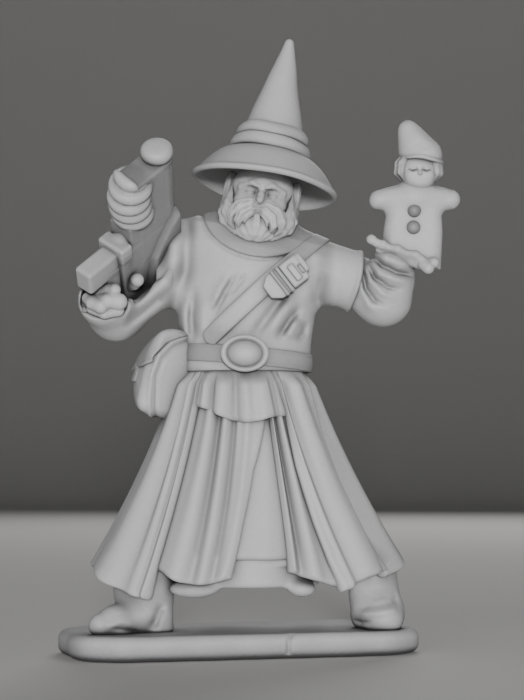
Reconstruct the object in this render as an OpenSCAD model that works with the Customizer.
// Resin kit of a robed wizard for tabletop games, about 38 mm tall on its own base.
// The figure faces -Y and stands on Z = 0. Its left is +X. The base is turned under it.

/* [Base] */
// Length of the base
base_l = 22; // [20:0.5:30]
// Width of the base, front to back
base_w = 10; // [9:0.5:14]
// Thickness of the base
base_t = 1.5; // [1.4:0.1:2.5]
// Corner radius of the base in plan
base_corner = 3.6; // [2:0.1:4]
// Radius of the rounded rim
base_rim = 0.5; // [0.2:0.1:0.6]
// Turn of the base under the figure, in degrees
base_turn = 15; // [0:1:25]

/* [Boots] */
// Height of the boots, from the base to the underskirt
boot_h = 3.7; // [3:0.1:5]
// Length of the foot
foot_l = 4.6; // [4:0.1:5.2]
// Width of the foot
foot_w = 1.9; // [1.5:0.1:2.4]
// Radius of the boot's shaft
shaft_r = 1.3; // [1:0.1:1.6]
// Distance between the two feet, centre to centre
stance = 14.4; // [12:0.1:15.5]

/* [Robe] */
// Half width of the robe at its hem
hem_w = 10.1; // [9:0.1:11]
// Half depth of the robe at its hem
hem_d = 5.2; // [4.6:0.1:6]
// Half width of the body at the waist
waist_w = 4.15; // [3.8:0.05:5]
// Half depth of the body at the waist
waist_d = 3.2; // [2.8:0.05:3.6]
// Height of the robe from its hem to the waist
robe_h = 12.2; // [10:0.1:14.5]
// Thickness of one layer of cloth
cloth = 0.3; // [0.2:0.05:0.4]
// How far the folds stand in and out at the hem, as a share of the radius
fold_depth = 0.025; // [0:0.005:0.05]
// Number of folds round the robe
fold_n = 11; // [7:1:15]

/* [Torso] */
// Height from the waist to the neck
torso_h = 9.8; // [8.5:0.1:11.5]
// Half width of the chest
chest_w = 4.75; // [4.3:0.05:5.4]
// Half depth of the chest
chest_d = 3.3; // [3:0.05:3.9]

/* [Belt and satchel] */
// Height of the belt
belt_h = 1.35; // [1:0.05:1.8]
// Thickness of the belt
belt_t = 0.32; // [0.2:0.02:0.45]
// Half width of the oval buckle
buckle_w = 1.5; // [1.1:0.05:1.8]
// Half height of the oval buckle
buckle_h = 1.15; // [0.9:0.05:1.4]
// Width of the strap across the chest
strap_w = 1.15; // [0.8:0.05:1.4]
// Thickness of the strap
strap_t = 0.25; // [0.15:0.01:0.35]
// Height of the satchel
satchel_h = 5.2; // [4.2:0.1:6.2]
// Width of the satchel, front to back
satchel_l = 4; // [3.2:0.1:4.8]
// Thickness of the satchel
satchel_t = 2; // [1.6:0.1:2.4]

/* [Head and hat] */
// Half width of the head
head_r = 2.1; // [1.7:0.05:2.3]
// Height of the head from chin to crown
head_h = 4.8; // [4.3:0.1:5.4]
// Radius of the hat's brim
brim_r = 4.7; // [4:0.1:5.5]
// Drop of the brim from the crown to its edge
brim_drop = 1.8; // [1.2:0.1:2.2]
// Radius of the crown where it meets the brim
crown_r = 2.6; // [2.35:0.05:3]
// Height of the crown above the brim
crown_h = 7.8; // [6:0.1:9]
// Height of each of the two hat bands
band_h = 0.85; // [0.6:0.05:1]

/* [Arms] */
// Radius of the gun arm's sleeve at the elbow
sleeve_r = 1.65; // [1.4:0.05:1.9]
// Radius of the wide sleeve of the raised arm at its hem
wide_sleeve_r = 1.8; // [1.5:0.05:2.1]
// Length of the wide sleeve from the shoulder
wide_sleeve_l = 3; // [2.5:0.1:3.6]

/* [Pistol] */
// Length of the receiver, from its back to the muzzle end
receiver_l = 9.4; // [8:0.1:11]
// Width of the receiver
receiver_w = 1.87; // [1.6:0.01:2.2]
// Height of the receiver
receiver_h = 3.65; // [3.2:0.05:4.4]
// Radius of the muzzle cap
muzzle_r = 0.95; // [0.7:0.01:1.1]
// Height of the muzzle cap
muzzle_h = 0.75; // [0.5:0.05:1]
// Length of the magazine
magazine_l = 2.9; // [2.2:0.1:3.6]
// How far the ribs on the fore grip stand out past the receiver's corners
rib_out = 0.14; // [0.1:0.01:0.3]
// Number of ribs on the fore grip
rib_n = 4; // [3:1:4]

/* [Doll] */
// Half width of the doll's body at its waist
doll_w = 1.9; // [1.6:0.05:2.2]
// Reach of each of the doll's arms from its middle
doll_reach = 2.85; // [2.5:0.05:3.2]
// Thickness of the doll's body
doll_t = 1.5; // [1.2:0.05:1.8]
// Radius of the doll's head
doll_head_r = 1.18; // [1:0.01:1.35]
// Height of the doll's cap
doll_cap_h = 2.6; // [2:0.1:3.2]
// Radius of each button
button_r = 0.45; // [0.3:0.01:0.5]

/* [Kit joints] */
// Radius of the locating pegs
peg_r = 0.6; // [0.5:0.05:0.7]
// Length of the locating pegs
peg_l = 1; // [0.8:0.05:1.1]
// Clearance round a peg in its socket
peg_gap = 0.05; // [0.03:0.01:0.1]

/* [Hidden] */
$fn = 32;
ROUND = 16;      // facets of a sphere inside a hull
SIDES = 28;      // points round a loft
gap = 0.01;      // air between pieces that lie face to face
layer_gap = 0.05; // air between layers whose faces are cut into flats differently
bite = 0.2;      // how far a cutting shape runs past what it cuts

// Heights, from the base up
hem_z = base_t + boot_h;
waist_z = hem_z + robe_h;
belt_z = waist_z + belt_h / 2;
neck_z = waist_z + torso_h;

// Underskirt: how far it hangs below the boots' tops, and its half sizes there
slip_drop = 1.5;
slip_w = 4.4;
slip_d = 3.4;

// Layers of the robe: how far each one's outer face lies inside the coat's
slip_off = -2.4 * cloth;
front_off = -1.7 * cloth;
wrap_off = -0.8 * cloth;
opening = 38;      // angle of the coat's right front edge from the middle, in degrees
opening_left = 31; // angle of the coat's left front edge at its hem
opening_belt = 23; // angle of the same edge at the belt
coat_seam = 66;    // angle of the seam between the coat's front and its back

// Feet, on the middle line of the turned base
feet = [
    [-stance / 2 + 0.8, -2, -44],
    [stance / 2 + 1, 0.8, 34]
];

// Torso rows: share of its height, middle X, half width and half depth as shares of the chest's, slope
torso_rows = [
    [0.00, 0.30, waist_w / chest_w, waist_d / chest_d, 0],
    [belt_h / torso_h, 0.30, waist_w / chest_w, waist_d / chest_d, 0],
    [belt_h / torso_h + 0.03, 0.36, 0.87, 0.95, 0],
    [0.40, 0.45, 0.92, 1.00, 0],
    [0.62, 0.55, 0.97, 1.02, -3],
    [0.77, 0.75, 1.00, 0.98, -8],
    [0.87, 0.90, 0.87, 0.86, -12],
    [0.94, 1.10, 0.64, 0.68, -12],
    [1.00, 1.30, 0.42, 0.52, -12]
];

// Head, hat and neck
neck = [1.35, 0.1, neck_z];
neck_r = 0.9;
neck_l = 2.4;
beard_t = 0.55;
hair_t = 0.4;
head_c = neck + [-0.05, -1.4, 0.75];
head_lean = [-5, 10, 0];
brim_up = 1.15;    // height of the brim's edge above the middle of the head
brim_t = 0.3;
band_r = 0.18;     // how far a band stands out from the crown
tip_r = 0.25;

// Right arm: shoulder, elbow, cuff
r_shoulder = [-chest_w + 1.55, 0.1, neck_z - 2.25];
r_elbow = [r_shoulder.x - 4.6, 0.2, r_shoulder.z - 3.55];
r_cuff = r_elbow + [-0.4, -2.1, 0.3];

// Left arm: shoulder, sleeve hem, elbow, wrist, and the palm under the doll
l_shoulder = [chest_w - 0.35, 0, neck_z - 3.25];
l_hem = l_shoulder + [wide_sleeve_l, -0.6, -1];
l_elbow = l_hem + [1.5, -0.4, -1];
l_wrist = l_elbow + [0.75, -1.1, 2.1];
palm_a = l_wrist + [-1.75, -0.5, 1.1];
palm_b = l_wrist + [1.6, -0.5, -0.1];

// Pistol frame: X is its side, Y its upper side, Z runs towards the muzzle
pistol_o = [r_cuff.x - 0.45, r_cuff.y - 4.1, r_cuff.z + 0.8];
muzzle_dir = [0, -0.797, 0.604];
pistol_up = [0.639, 0.465, 0.613];
muzzle_z = receiver_l - 5;
front_y = 3.4;             // underside of the receiver, seen from the magazine's foot
plate_t = 0.35;
plate_y = 1.15;            // from the receiver's front to the lower edge of a side plate
plate_back_z = 1.1;        // from the receiver's rear to the lower end of a plate's swept edge
plate_top_z = 5.7;         // the same for the upper end of the swept edge
rib_zone = 3.6;            // length of the fore grip, back from the muzzle end
rib_raise = 0.06;          // from the fore grip's rear end to the first rib
end_rib = 0.85;            // size of the rib on the muzzle end, as a share of the others
rib_top = 0.2;             // from the barrel's middle down to the ribs' upper ends
rib_y = front_y + 1.6;     // the ribs' axis
grip_depth = 0.7;          // from the ribs' axis to the face of the fore grip
rib_r = norm([receiver_w / 2, grip_depth]) + rib_out;
rib_pitch = rib_zone / rib_n;
magazine_w = 1.25;
magazine_t = 1.62;
magazine_sunk = 0.4;       // length of the magazine that is left out inside its collar
collar_t = 0.9;
collar_side = 0.07;        // how far the collar stands out from the receiver's sides
collar_end = 0.3;          // how far it stands out beyond the magazine's broad faces
grip_w = 0.9;
grip_l = 2.6;
grip_t = 1.1;
grip_z = 0.3;              // from the receiver's rear to the grip
reach = 3.9;               // length in front of the receiver that the hand and sleeve keep clear
rib_t = rib_pitch - 0.12;

// Doll, standing on the palm
doll_o = (palm_a + palm_b) / 2 + [0.85, 0, 0.15];
doll_h = 4.1;
doll_neck = doll_o + [0.15, 0, doll_h];
doll_head_c = doll_neck + [0.15, -0.15, 0.8 * doll_head_r];

//---------------------------------------------------------------- helpers

function mix(a, b, t) = a + (b - a) * t;
function ring_middle(r) = [for (k = [0:2]) let (s = [for (p = r) p[k]]) (min(s) + max(s)) / 2];

// Closed solid through a stack of rings, each with the same number of points
module loft(rings) {
    n = len(rings[0]);
    m = len(rings);
    points = [each [for (r = rings) each r], ring_middle(rings[0]), ring_middle(rings[m - 1])];
    walls = [for (i = [0:m - 2], j = [0:n - 1]) let (k = (j + 1) % n) each [
        [i * n + j, (i + 1) * n + k, i * n + k],
        [i * n + j, (i + 1) * n + j, (i + 1) * n + k]
    ]];
    floor = [for (j = [0:n - 1]) [m * n, j, (j + 1) % n]];
    roof = [for (j = [0:n - 1]) [m * n + 1, (m - 1) * n + (j + 1) % n, (m - 1) * n + j]];
    polyhedron(points, [each walls, each floor, each roof]);
}

// Solid between two grids of points: outer and inner faces of a piece of cloth, rows from the hem up
module cloth_solid(outer, inner) {
    m = len(outer);
    n = len(outer[0]);
    points = [each [for (r = outer) each r], each [for (r = inner) each r]];
    function o(i, j) = i * n + j;
    function q(i, j) = m * n + i * n + j;
    faces = [for (i = [0:m - 2], j = [0:n - 2]) each [
        [o(i, j), o(i + 1, j + 1), o(i, j + 1)], [o(i, j), o(i + 1, j), o(i + 1, j + 1)],
        [q(i, j), q(i, j + 1), q(i + 1, j + 1)], [q(i, j), q(i + 1, j + 1), q(i + 1, j)]
    ]];
    hems = [for (j = [0:n - 2]) each [
        [o(0, j), o(0, j + 1), q(0, j + 1)], [o(0, j), q(0, j + 1), q(0, j)],
        [o(m - 1, j + 1), o(m - 1, j), q(m - 1, j)], [o(m - 1, j + 1), q(m - 1, j), q(m - 1, j + 1)]
    ]];
    edges = [for (i = [0:m - 2]) each [
        [o(i + 1, 0), o(i, 0), q(i, 0)], [o(i + 1, 0), q(i, 0), q(i + 1, 0)],
        [o(i, n - 1), o(i + 1, n - 1), q(i + 1, n - 1)], [o(i, n - 1), q(i + 1, n - 1), q(i, n - 1)]
    ]];
    polyhedron(points, [each faces, each hems, each edges]);
}

// Round limb through a list of [x, y, z, radius]
module limb(stops) {
    for (i = [0:len(stops) - 2])
        hull() {
            translate([stops[i].x, stops[i].y, stops[i].z]) sphere(stops[i][3], $fn = ROUND);
            translate([stops[i + 1].x, stops[i + 1].y, stops[i + 1].z])
                sphere(stops[i + 1][3], $fn = ROUND);
        }
}

function at(p, r) = [p.x, p.y, p.z, r];

// Box with its corners rounded by a radius
module soft_box(size, r) {
    hull()
        for (x = [-1, 1], y = [-1, 1], z = [-1, 1])
            translate([x * (size.x / 2 - r), y * (size.y / 2 - r), z * (size.z / 2 - r)])
                sphere(r, $fn = ROUND);
}

//---------------------------------------------------------------- shared surfaces

// Point of the robe at angle a from the front, height z and offset off from the coat's outer face
function robe_point(a, z, off) =
    let (t = (waist_z - z) / robe_h,
         s = 0.7 * t + 0.3 * t * t,
         f = 1 + fold_depth * t * cos(fold_n * a),
         x = (mix(waist_w, hem_w, s) + off) * f * sin(a),
         y = -(mix(waist_d, hem_d, s) + off) * f * cos(a),
         turn = 0.6 * base_turn * t,
         cx = mix(torso_rows[0][1], 0.67, t))
    [cx + x * cos(turn) - y * sin(turn), x * sin(turn) + y * cos(turn), z];

// Height of the coat's hem at angle a: it dips to a corner on each side of the front opening
function coat_hem(a) =
    hem_z - 1.3 * exp(-pow((abs(a) - opening) / 18, 2)) - 0.6 * exp(-pow((abs(a) - 180) / 60, 2));

// Angle of the coat's left front edge at a share of its height
function left_edge(u) = mix(opening_left, opening_belt, u);

// A panel of the robe between two edges, which are functions of height share, with its own hem
module robe_panel(from, to, hem, inner, outer, top, cols, rows = 7) {
    grid = function (off) [for (i = [0:rows])
        let (u = i / rows) [for (j = [0:cols])
            let (a = mix(from(u), to(u), j / cols), z = mix(hem(a), top, u))
            robe_point(a, z, off)]];
    cloth_solid(grid(outer), grid(inner));
}

// Ring of the torso at a share of its height, offset outward
function torso_ring(row, off) =
    [for (j = [0:SIDES - 1])
        let (a = 360 * j / SIDES,
             x = (row[2] * chest_w + off) * sin(a),
             y = -(row[3] * chest_d + off) * cos(a))
        [row[1] + x, y, waist_z + row[0] * torso_h + x * tan(row[4])]];

module torso_form(off = 0) {
    rings = [for (row = torso_rows) torso_ring(row, off)];
    lid = [for (p = rings[len(rings) - 1]) p + [0, 0, off]];
    loft(off > 0 ? [each rings, lid] : rings);
}

//---------------------------------------------------------------- base and boots

// Half of the base's cross section, with its rounded rim, out to a half width
module rim_profile(half) {
    square([half - base_rim, base_t]);
    translate([0, base_rim]) square([half, base_t - 2 * base_rim]);
    for (z = [base_rim, base_t - base_rim])
        translate([half - base_rim, z]) circle(base_rim, $fn = 24);
}

// Straight run of the base between two corners, from its middle line out to one side
module base_side(half, run) {
    rotate([90, 0, 0]) linear_extrude(run, center = true) rim_profile(half);
}

module base_form() {
    straight_l = base_l - 2 * base_corner;
    straight_w = base_w - 2 * base_corner;
    for (turn = [0, 180])
        rotate([0, 0, turn]) {
            base_side(base_l / 2, straight_w);
            rotate([0, 0, 90]) base_side(base_w / 2, straight_l);
        }
    for (x = [-1, 1], y = [-1, 1])
        translate([x * straight_l / 2, y * straight_w / 2, 0])
            rotate_extrude($fn = 64) rim_profile(base_corner);
}

module base() {
    color("lightgray")
        difference() {
            rotate([0, 0, base_turn]) base_form();
            for (f = feet)
                translate([f.x, f.y, base_t - peg_l - peg_gap])
                    cylinder(r = peg_r + peg_gap, h = peg_l + peg_gap + bite);
        }
}

// Boot with its ankle over the origin, toe towards -Y, a peg at each end
module boot() {
    heel_y = foot_l * 0.24;
    toe_y = -foot_l * 0.76 + foot_w / 2;
    hull() {
        translate([0, heel_y - foot_w * 0.1, 0]) cylinder(r = foot_w * 0.45, h = 0.5);
        translate([0, toe_y, 0]) cylinder(r = foot_w / 2, h = 0.45);
        translate([0, toe_y + 0.3, foot_w * 0.42]) sphere(foot_w * 0.42, $fn = ROUND);
        translate([0, 0, boot_h * 0.38]) sphere(shaft_r * 0.85, $fn = ROUND);
    }
    translate([0, 0, boot_h * 0.3])
        cylinder(r1 = shaft_r * 0.85, r2 = shaft_r, h = boot_h * 0.7 - layer_gap);
    translate([0, 0, -peg_l]) cylinder(r = peg_r, h = peg_l + bite);
    translate([0, 0, boot_h - bite]) cylinder(r = peg_r, h = peg_l + bite);
}

module placed_boot(f) {
    color("silver")
        translate([f.x, f.y, base_t + gap]) rotate([0, 0, f.z]) boot();
}

//---------------------------------------------------------------- robe

// Core of the robe: the slip that hangs between the boots, widening to fill the coat
module underskirt() {
    steps = [for (i = [0:6]) mix(hem_z, waist_z - gap, i / 6)];
    ring = function (z) [for (j = [0:2 * SIDES - 1]) robe_point(180 * j / SIDES, z, slip_off - layer_gap)];
    slip = function (z, s) [for (j = [0:2 * SIDES - 1]) let (a = 180 * j / SIDES)
        [0.4 + slip_w * s * sin(a), -slip_d * s * cos(a), z]];
    color("gainsboro")
        difference() {
            loft([slip(hem_z - slip_drop, 1), slip(hem_z - gap, 1.05), each [for (z = steps) ring(z)]]);
            for (f = feet)
                translate([f.x, f.y, hem_z - bite])
                    cylinder(r = peg_r + peg_gap, h = peg_l + peg_gap + bite);
        }
}

front_top = waist_z - gap;
wrap_edge = function (u) mix(-5.6, 17, u);

module slip_front() {
    color("gainsboro")
        robe_panel(function (u) -opening + 1, function (u) left_edge(u) - 1, function (a) hem_z + 0.2,
            slip_off, front_off - 2 * gap, front_top, 12);
}

module wrap_panel() {
    color("lightgray")
        robe_panel(function (u) -opening + 0.5, wrap_edge, function (a) hem_z - 0.5 + 0.4 * cos(8 * a),
            front_off, wrap_off - gap, front_top, 10);
}

module pleat_panel() {
    color("lightgray")
        robe_panel(function (u) mix(15, 19, u), function (u) left_edge(u) - 0.5, function (a) hem_z - 0.9,
            front_off, wrap_off - gap, front_top, 8);
}

module coat_front_right() {
    color("silver")
        robe_panel(function (u) -coat_seam, function (u) -opening, function (a) coat_hem(a),
            slip_off, 0, front_top, 8);
}

module coat_front_left() {
    color("silver")
        robe_panel(function (u) left_edge(u), function (u) coat_seam, function (a) coat_hem(a),
            slip_off, 0, front_top, 8);
}

module coat_back() {
    color("silver")
        robe_panel(function (u) coat_seam + 0.3, function (u) 359.7 - coat_seam,
            function (a) coat_hem(a > 180 ? a - 360 : a), slip_off, -0.25 * cloth, front_top, 36);
}

module tunic_skirt() {
    color("lightgray")
        robe_panel(function (u) -opening + 0.4, function (u) mix(left_edge(0.76), opening_belt, u) - 0.6,
            function (a) waist_z - 2.9 - 0.35 * cos(5 * (a - 8)), wrap_off, 0.2 * cloth, front_top, 12, 4);
}

//---------------------------------------------------------------- torso and what it wears

module torso() {
    color("lightgray")
        difference() {
            torso_form();
            translate(neck - [0, 0, neck_l + peg_gap]) cylinder(r = neck_r + peg_gap, h = neck_l + bite);
            head_room();
            translate(r_shoulder) rotate([0, 90, 0]) cylinder(r = peg_r + peg_gap, h = 2.6);
            translate(l_shoulder) rotate([0, -90, 0]) cylinder(r = peg_r + peg_gap, h = 2.6);
            sleeve_room();
        }
}

// The sleeves' own solids, which the torso makes room for
module sleeve_room() {
    limb([
        at(r_shoulder, 1.9 + gap), at(mix(r_shoulder, r_elbow, 0.3), 1.8 + gap), at(r_elbow, sleeve_r + gap)
    ]);
    limb([at(l_shoulder, 1.85 + gap), at(l_hem, wide_sleeve_r + gap)]);
}

// Yoke round the neck: a thin layer over the shoulders, cut to a circle that hangs low in front
module collar() {
    color("lightgray")
        difference() {
            intersection() {
                torso_form(cloth * 0.6);
                translate(neck + [-0.2, -0.6, -3.6]) rotate([8, -6, 0]) cylinder(r = 3.15, h = 6);
            }
            torso_form(gap);
            sleeve_room();
            head_room();
        }
}

// Closed band round the torso between two heights
module torso_band(z0, z1, inner, outer) {
    difference() {
        loft([for (z = [z0, z1]) [for (j = [0:2 * SIDES - 1]) belt_point(180 * j / SIDES, z, outer)]]);
        loft([for (z = [z0 - bite, z1 + bite])
            [for (j = [0:2 * SIDES - 1]) belt_point(180 * j / SIDES, z, inner)]]);
    }
}

function belt_point(a, z, off) =
    [torso_rows[0][1] + (waist_w + off) * sin(a), -(waist_d + off) * cos(a), z];

module belt() {
    color("silver")
        torso_band(waist_z, waist_z + belt_h, gap, belt_t);
}

belt_front = -(waist_d + belt_t);

module oval(w, h, t) {
    resize([2 * w, 2 * h, t]) cylinder(r = w, h = t, $fn = 48);
}

module buckle_frame() {
    color("lightgray")
        translate([torso_rows[0][1], belt_front - gap, belt_z]) rotate([90, 0, 0])
            difference() {
                oval(buckle_w, buckle_h, 0.35);
                translate([0, 0, 0.15]) oval(buckle_w - 0.32, buckle_h - 0.32, 0.4);
            }
}

module buckle_stone() {
    color("gainsboro")
        translate([torso_rows[0][1], belt_front - 0.15 - 2 * gap, belt_z]) rotate([90, 0, 0])
            intersection() {
                oval(buckle_w - 0.34, buckle_h - 0.34, 0.6);
                translate([0, 0, -2.4]) sphere(2.9, $fn = 40);
            }
}

//---------------------------------------------------------------- satchel and its strap

strap_mid = [0.95, 0, waist_z + 4.4]; // point on the strap's middle line
strap_lean = 40;                      // its slope, in degrees

module satchel_strap() {
    color("lightgray")
        difference() {
            intersection() {
                torso_form(strap_t);
                translate(strap_mid) rotate([0, -strap_lean, 0]) cube([14, 12, strap_w], center = true);
                translate([-10, -10, waist_z + belt_h + gap]) cube([20, 20, torso_h]);
            }
            torso_form(gap);
            collar_room();
            sleeve_room();
        }
}

// Space that the collar takes
module collar_room() {
    translate(neck + [-0.2, -0.6, -3.6]) rotate([8, -6, 0]) cylinder(r = 3.17, h = 6);
}

// Frame of the pieces on the strap: X runs up along it, Z stands out from the chest
module on_strap() {
    translate([2.83, -chest_d - strap_t - 0.12, strap_mid.z + 1.1])
        rotate([90, 0, 0])
            rotate([0, 0, strap_lean])
                children();
}

module strap_tongue() {
    color("gainsboro")
        on_strap() {
            translate([-1, 0, 0]) cylinder(r = 0.75, h = 0.3);
            translate([-1, -0.75, 0]) cube([1.7, 1.5, 0.3]);
        }
}

module strap_keepers() {
    color("silver")
        on_strap()
            for (x = [-0.55, -0.15])
                translate([x, -0.85, 0.3 + gap]) cube([0.25, 1.7, 0.15]);
}

module strap_brooch() {
    color("gainsboro")
        on_strap()
            translate([0.8, -0.8, 0]) {
                cube([0.9, 1.6, 0.45]);
                translate([0.15, 0.25, 0.45]) cube([0.6, 1.1, 0.2]);
            }
}

// Frame of the satchel on the right hip: X is its thickness, Y runs front to back
module on_hip() {
    side = robe_point(-90, waist_z - satchel_h * 0.45, 0);
    translate([side.x - 0.4, -0.6, waist_z - 0.15]) rotate([0, 15, 12]) children();
}

module satchel_form(grow = 0) {
    soft_box([satchel_t + grow, satchel_l + grow, satchel_h + grow], 0.6 + grow / 2);
}

module satchel_bag() {
    color("lightgray")
        difference() {
            on_hip() satchel_form();
            body_room();
        }
}

// Outside of the robe, belt and chest together, which hip pieces are cut back to
module body_room() {
    rows = [for (i = [0:6]) mix(waist_z - 5, waist_z, i / 6)];
    loft([for (z = rows) [for (j = [0:2 * SIDES - 1]) robe_point(180 * j / SIDES, z, gap)]]);
    loft([for (z = [waist_z - gap, waist_z + belt_h + gap])
        [for (j = [0:2 * SIDES - 1]) belt_point(180 * j / SIDES, z, belt_t + gap)]]);
    torso_form(strap_t + gap);
}

module satchel_flap() {
    color("silver")
        difference() {
            on_hip() intersection() {
                satchel_form(0.3);
                translate([-3, -4, -satchel_h * 0.12]) cube([6, 8, 4]);
            }
            on_hip() satchel_form(2 * gap);
            body_room();
        }
}

module satchel_toggle() {
    color("gainsboro")
        on_hip() translate([-satchel_t / 2 - 0.15 - gap, 0, -satchel_h * 0.05])
            rotate([0, -90, 0]) cylinder(r = 0.35, h = 0.25);
}

//---------------------------------------------------------------- head and hat

module on_head() {
    translate(head_c) rotate(head_lean) children();
}

function head_profile(grow, low, high) =
    [for (t = [low:7.5:high]) [(head_r + grow) * cos(t), (head_h / 2 + grow) * sin(t)]];

module head() {
    color("lightgray")
        difference() {
            union() {
                on_head() rotate_extrude() polygon(head_profile(0, -90, 90));
                translate(neck - [0, 0, neck_l]) cylinder(r = neck_r, h = neck_l + 0.5);
            }
            on_hat() translate([0, 0, brim_drop - gap]) cylinder(r = brim_r, h = crown_h);
        }
}

// Layer over the head: half its angle round from the front or the back, and the latitudes it spans
module head_layer(half_angle, low, high, t, behind = false) {
    inner = head_profile(gap, low, high);
    outer = head_profile(t, low, high);
    on_head()
        rotate([0, 0, (behind ? 90 : -90) - half_angle])
            rotate_extrude(angle = 2 * half_angle)
                polygon([each inner, for (i = [len(outer) - 1:-1:0]) outer[i]]);
}

// Space that the head with its beard takes from the collar and the chest
module head_room() {
    on_head() rotate_extrude() polygon(head_profile(beard_t + layer_gap, -90, 90));
}

module hair() {
    color("gainsboro")
        difference() {
            head_layer(100, -45, 22.5, hair_t, true);
            translate(neck - [0, 0, neck_l]) cylinder(r = neck_r + gap, h = neck_l + 0.5 + gap);
        }
}

module beard() {
    color("gainsboro")
        head_layer(79, -82.5, -7.5, beard_t);
}

module moustache() {
    color("gainsboro")
        difference() {
            on_head()
                for (s = [-1, 1])
                    hull() {
                        translate([s * 0.3, -head_r - 0.45, -0.75]) sphere(0.34, $fn = ROUND);
                        translate([s * 1.05, -head_r - 0.1, -1.3]) sphere(0.32, $fn = ROUND);
                    }
            on_head() rotate_extrude() polygon(head_profile(beard_t + gap, -90, 90));
        }
}

// Frame of the hat: its origin is the middle of the brim's edge
module on_hat() {
    on_head() translate([0, 0, brim_up]) children();
}

// Height of the brim's top at a share of its width: level at the crown and steep at the edge
function brim_curve(t) = brim_drop * (1 - pow(t, 2.2));

module hat_brim() {
    color("silver")
        on_hat()
            rotate_extrude($fn = 48)
                polygon([
                    for (t = [0:0.125:1]) [mix(crown_r, brim_r - 0.1, t), brim_curve(t) - brim_t],
                    [brim_r, brim_curve(1) - brim_t / 2],
                    for (t = [1:-0.125:0]) [mix(crown_r, brim_r - 0.1, t), brim_curve(t)]
                ]);
}

crown_mid = 2 * band_h + 0.1;
crown_mid_r = crown_r - 0.65;

module hat_crown() {
    color("silver")
        on_hat() translate([0, 0, brim_drop])
            rotate_extrude()
                polygon([
                    [0, 0], [crown_r - band_r - gap, 0], [crown_mid_r, crown_mid],
                    [tip_r, crown_h - tip_r], [tip_r * 0.7, crown_h - tip_r * 0.3], [0, crown_h]
                ]);
}

// One hat band, wrapped round the foot of the crown
module hat_band(level) {
    slope = (crown_r - band_r - crown_mid_r) / crown_mid;
    z0 = level * band_h + gap;
    z1 = z0 + band_h - 2 * gap;
    inner = function (z) crown_r - band_r - slope * z;
    on_hat() translate([0, 0, brim_drop])
        rotate_extrude()
            polygon([
                [inner(z0), z0], [inner(z0) + band_r * 0.7, z0], [inner(z0) + band_r, z0 + 0.2],
                [inner(z1) + band_r, z1 - 0.2], [inner(z1) + band_r * 0.7, z1], [inner(z1), z1]
            ]);
}

module hat_band_lower() {
    color("lightgray") hat_band(0);
}

module hat_band_upper() {
    color("lightgray") hat_band(1);
}

//---------------------------------------------------------------- gun arm

module right_sleeve() {
    color("lightgray")
        difference() {
            union() {
                limb([
                    at(r_shoulder, 1.9), at(mix(r_shoulder, r_elbow, 0.3), 1.8),
                    at(r_elbow, sleeve_r), at(r_cuff, sleeve_r - 0.1)
                ]);
                translate(r_shoulder) rotate([0, 90, 0]) cylinder(r = peg_r, h = 2.5);
            }
            translate(r_cuff + [0, -0.5, 0.3]) rotate([60, 0, 0])
                cylinder(r = sleeve_r - 0.45, h = 4, center = true);
            translate(r_cuff + [-3, -4.6, -3]) cube([6, 4, 6]);
            pistol_room();
        }
}

// Fist that fills the cuff and closes round the grip
module right_hand() {
    color("lightgray")
        difference() {
            limb([
                at(r_cuff + [0, 0.2, -0.2], 0.9), at(r_cuff + [0.1, -0.8, 0.1], 0.95),
                at(r_cuff + [0.5, -1, 0.35], 0.75)
            ]);
            pistol_room();
        }
}

//---------------------------------------------------------------- pistol

function unit(v) = v / norm(v);

// Frame of the pistol: X is its right side, Y its upper side, Z the muzzle's direction
module on_pistol() {
    z = unit(muzzle_dir);
    x = unit(cross(pistol_up, z));
    y = cross(z, x);
    multmatrix([
        [x.x, y.x, z.x, pistol_o.x], [x.y, y.y, z.y, pistol_o.y],
        [x.z, y.z, z.z, pistol_o.z], [0, 0, 0, 1]
    ])
        children();
}

module receiver_form() {
    back = muzzle_z - receiver_l;
    translate([-receiver_w, front_y, back]) cube([receiver_w, receiver_h, receiver_l - rib_zone]);
    translate([-receiver_w, rib_y - grip_depth, back])
        cube([receiver_w, front_y + receiver_h - rib_y + grip_depth, receiver_l]);
    translate([-receiver_w / 2, front_y + receiver_h, back])
        cylinder(r = receiver_w / 2, h = receiver_l, $fn = 40);
}

module pistol_receiver() {
    color("silver") on_pistol() receiver_form();
}

// Raised plates on both sides of the receiver's rear, with a front edge that sweeps up to the barrel
module pistol_side_plate() {
    back = muzzle_z - receiver_l;
    top_y = front_y + receiver_h;
    low_y = front_y + plate_y;
    sweep = [
        for (t = [0:0.25:1])
            [mix(low_y, top_y, pow(t, 1.6)), mix(back + plate_back_z, back + plate_top_z, pow(t, 0.8))]
    ];
    color("gray")
        on_pistol()
            for (x = [gap, -receiver_w - plate_t - gap])
                translate([x, 0, 0]) rotate([90, 0, 90])
                    linear_extrude(plate_t)
                        polygon([[low_y, back], each sweep, [top_y, back]]);
}

module pistol_muzzle() {
    color("gainsboro")
        on_pistol()
            translate([-receiver_w / 2, front_y + receiver_h, muzzle_z + gap])
                rotate_extrude()
                    polygon([
                        [0, 0], [muzzle_r, 0], [muzzle_r, muzzle_h * 0.6],
                        [muzzle_r * 0.8, muzzle_h * 0.93], [muzzle_r * 0.4, muzzle_h], [0, muzzle_h]
                    ]);
}

// One rib of the fore grip: a disc with a round rim
module rib(r, t) {
    rotate_extrude() {
        square([r - t / 2, t]);
        translate([r - t / 2, t / 2]) circle(t / 2, $fn = 20);
    }
}

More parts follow.
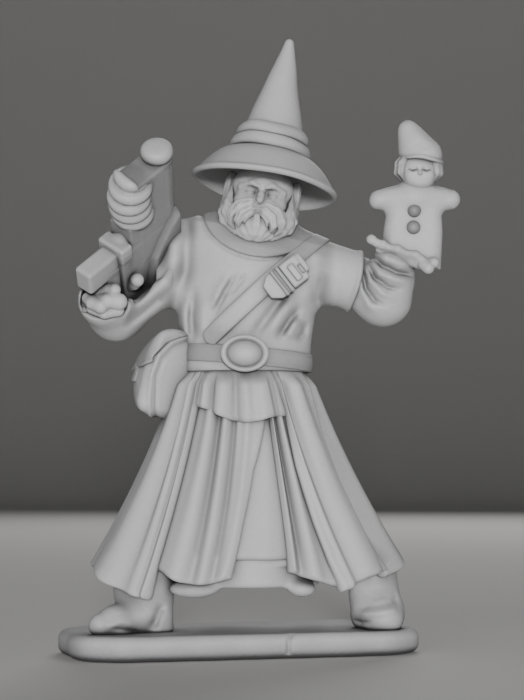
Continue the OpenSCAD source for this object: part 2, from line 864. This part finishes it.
// Fore grip: ribs that wrap round the receiver's front, and a smaller one on its muzzle end
module pistol_ribs() {
    color("lightgray")
        on_pistol()
            difference() {
                union() {
                    for (i = [0:rib_n - 1])
                        translate([-receiver_w / 2, rib_y, muzzle_z - rib_zone + i * rib_pitch + rib_raise])
                            rib(rib_r, rib_t);
                    translate([-receiver_w / 2, rib_y, muzzle_z + gap]) rib(rib_r * end_rib, rib_t * end_rib);
                }
                translate([-receiver_w - gap, rib_y - grip_depth - gap, muzzle_z - rib_zone])
                    cube([receiver_w + 2 * gap, rib_r * 3, rib_zone + gap / 2]);
                above = front_y + receiver_h - receiver_w / 2 - rib_top;
                translate([-receiver_w - 3, above, muzzle_z - rib_zone]) cube(9);
            }
}

module pistol_magazine() {
    low_y = front_y - collar_t - magazine_l + magazine_sunk;
    color("lightgray")
        on_pistol()
            translate([-(receiver_w + magazine_w) / 2, low_y, -magazine_t])
                cube([magazine_w, magazine_l - magazine_sunk - gap, magazine_t]);
}

module pistol_magazine_collar() {
    color("lightgray")
        on_pistol()
            translate([-receiver_w - collar_side, front_y - collar_t, -magazine_t - collar_end])
                cube([receiver_w + 2 * collar_side, collar_t - gap, magazine_t + 2 * collar_end]);
}

module grip_form(grow = 0) {
    back = muzzle_z - receiver_l + grip_z;
    translate([-(receiver_w + grip_w) / 2 - grow, front_y - grip_l - grow, back - grow])
        cube([grip_w + 2 * grow, grip_l + grow - gap, grip_t + 2 * grow]);
}

module pistol_grip() {
    color("gray") on_pistol() grip_form();
}

// Space that the pistol takes from the hand and the sleeve
module pistol_room() {
    on_pistol() {
        grip_form(gap);
        translate([-receiver_w - plate_t - 2 * gap, front_y - gap, muzzle_z - receiver_l - gap])
            cube([receiver_w + 2 * plate_t + 4 * gap, receiver_h + receiver_w / 2 + 2 * gap, receiver_l]);
        side = collar_side + 0.03;
        end = collar_end + 0.05;
        translate([-receiver_w - side, front_y - reach, -magazine_t - end])
            cube([receiver_w + 2 * side, reach, magazine_t + 2 * end]);
    }
}

//---------------------------------------------------------------- raised arm

module left_sleeve() {
    color("lightgray")
        difference() {
            union() {
                limb([at(l_shoulder, 1.85), at(l_hem, wide_sleeve_r)]);
                translate(l_shoulder) rotate([0, -90, 0]) cylinder(r = peg_r, h = 2.5);
            }
            hem_cut();
        }
}

// Everything beyond the wide sleeve's hem
module hem_cut() {
    translate(l_hem + [0.15, 0, 0]) rotate([0, 15, 0]) translate([0, -4, -4]) cube([8, 8, 8]);
}

module left_undersleeve() {
    color("lightgray")
        intersection() {
            limb([
                at(l_hem, wide_sleeve_r - 0.25), at(l_elbow, 1.6),
                at(mix(l_elbow, l_wrist, 0.6), 1.35), at(l_wrist, 1.15)
            ]);
            translate([gap, 0, 0]) hem_cut();
            hand_under(12);
        }
}

// Half space below the palm's underside
module hand_under(size) {
    tilt = atan2(palm_b.z - palm_a.z, palm_b.x - palm_a.x);
    translate(l_wrist + [0, 0, 0.15]) rotate([0, -tilt, 0])
        translate([-size / 2, -size / 2, -size]) cube([size, size, size]);
}

module left_hand() {
    color("lightgray")
        difference() {
            union() {
                hull() {
                    translate(palm_a) sphere(0.5, $fn = ROUND);
                    translate(palm_b) sphere(0.55, $fn = ROUND);
                    translate(palm_a + [0.4, 1.4, 0]) sphere(0.45, $fn = ROUND);
                    translate(palm_b + [-0.4, 1.4, 0]) sphere(0.45, $fn = ROUND);
                }
                limb([at(palm_a + [0, -0.7, 0.2], 0.4), at(palm_b + [0, -0.8, 0.1], 0.45),
                    at(palm_b + [0.6, -0.6, 0.1], 0.5)]);
            }
            hand_under(12);
            doll_form(gap);
        }
}

//---------------------------------------------------------------- doll

module doll_form(grow = 0) {
    r = doll_t / 2 + grow;
    side = doll_w - doll_t / 2;
    hull()
        for (s = [-1, 1]) {
            translate(doll_o + [s * side, 0, -grow]) cylinder(r = r, h = 0.1, $fn = ROUND);
            translate(doll_o + [s * (side - 0.15), 0, doll_h * 0.72]) sphere(r, $fn = ROUND);
        }
    hull() {
        for (s = [-1, 1])
            translate(doll_o + [s * (doll_reach - 0.68), 0, doll_h * 0.8]) sphere(0.68 + grow, $fn = ROUND);
        translate(doll_o + [0, 0, doll_h * 0.9]) sphere(0.72 + grow, $fn = ROUND);
    }
}

module doll_body() {
    color("gainsboro")
        difference() {
            doll_form();
            translate(doll_head_c) sphere(doll_head_r + gap);
        }
}

module doll_head() {
    color("lightgray")
        difference() {
            translate(doll_head_c) sphere(doll_head_r);
            on_doll_cap(-gap) cylinder(r = 3, h = 3);
        }
}

// Frame of the doll's cap: its origin is the middle of the cap's edge
module on_doll_cap(lift = 0) {
    translate(doll_head_c + [0.1, 0, 0.75]) rotate([-8, 2, 0]) translate([0, 0, lift]) children();
}

module doll_cap() {
    edge = doll_head_r + 0.35;
    color("lightgray")
        on_doll_cap()
            hull() {
                cylinder(r1 = edge, r2 = edge - 0.1, h = 0.3);
                translate([-0.45, 0, doll_cap_h * 0.55]) sphere(0.75, $fn = ROUND);
                translate([-0.7, 0, doll_cap_h - 0.45]) sphere(0.45, $fn = ROUND);
            }
}

module doll_hair() {
    color("gainsboro")
        difference() {
            hull()
                for (s = [-1, 1])
                    translate(doll_head_c + [s * (doll_head_r + 0.02), 0.3, 0.1]) sphere(0.6, $fn = ROUND);
            translate(doll_head_c) sphere(doll_head_r + gap);
            on_doll_cap(-gap) cylinder(r = 3, h = 3);
            doll_form(gap);
        }
}

module doll_buttons() {
    color("silver")
        for (share = [0.34, 0.59])
            translate(doll_o + [0, -doll_t / 2 - gap, doll_h * share]) rotate([90, 0, 0])
                rotate_extrude()
                    polygon([[0, 0], each [for (t = [0:15:90]) [button_r * cos(t), button_r * sin(t)]]]);
}

//---------------------------------------------------------------- drawing

base();
placed_boot(feet[0]);  // right_boot
placed_boot(feet[1]);  // left_boot
underskirt();
slip_front();
wrap_panel();
pleat_panel();
coat_front_right();
coat_front_left();
coat_back();
tunic_skirt();
torso();
collar();
belt();
buckle_frame();
buckle_stone();
satchel_strap();
strap_tongue();
strap_keepers();
strap_brooch();
satchel_bag();
satchel_flap();
satchel_toggle();
head();
hair();
beard();
moustache();
hat_brim();
hat_crown();
hat_band_lower();
hat_band_upper();
right_sleeve();
right_hand();
pistol_receiver();
pistol_side_plate();
pistol_muzzle();
pistol_ribs();
pistol_magazine();
pistol_magazine_collar();
pistol_grip();
left_sleeve();
left_undersleeve();
left_hand();
doll_body();
doll_head();
doll_hair();
doll_cap();
doll_buttons();
